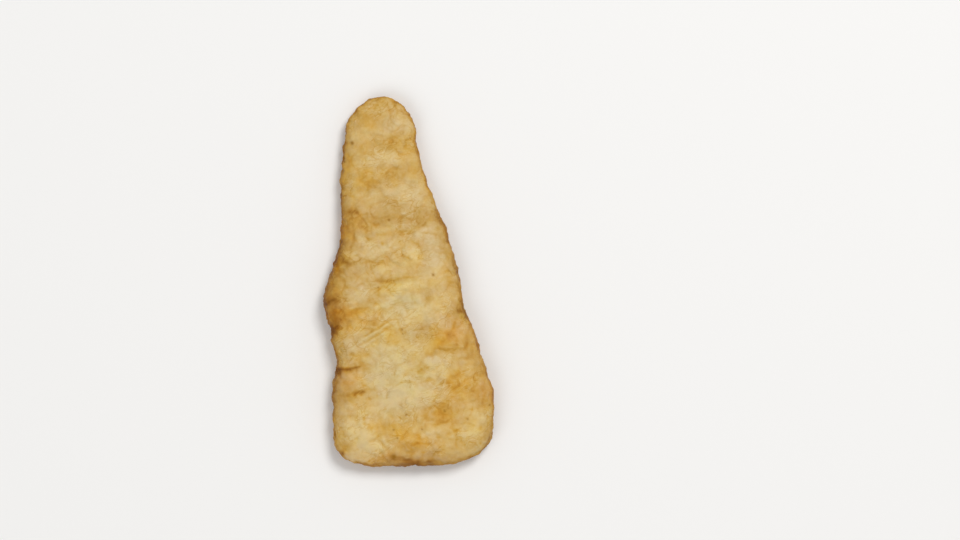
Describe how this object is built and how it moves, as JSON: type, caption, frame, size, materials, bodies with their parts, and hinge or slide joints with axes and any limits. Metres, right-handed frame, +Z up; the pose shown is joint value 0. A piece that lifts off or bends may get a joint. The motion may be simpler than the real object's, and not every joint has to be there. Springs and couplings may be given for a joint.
{
  "type": "fried fish fillet",
  "caption": "Battered, fried fish fillet: a long tapered slab with a broad round-cornered butt, a narrow round tail, a low uneven golden crust and a flat underside to lie on.",
  "frame": {"origin": "on the surface it lies on, under the middle of its outline", "axes": "+Z up through the crust, +Y from the broad butt to the narrow tail, +X to the side that slants in towards the tail"},
  "size_m": [0.074, 0.1592, 0.016],
  "materials": {
    "batter_crust": "pale golden fried batter, browner at the rim, satin with a little oil"
  },
  "bodies": {
    "root": {"fillet": "batter_crust"}
  },
  "joints": []
}
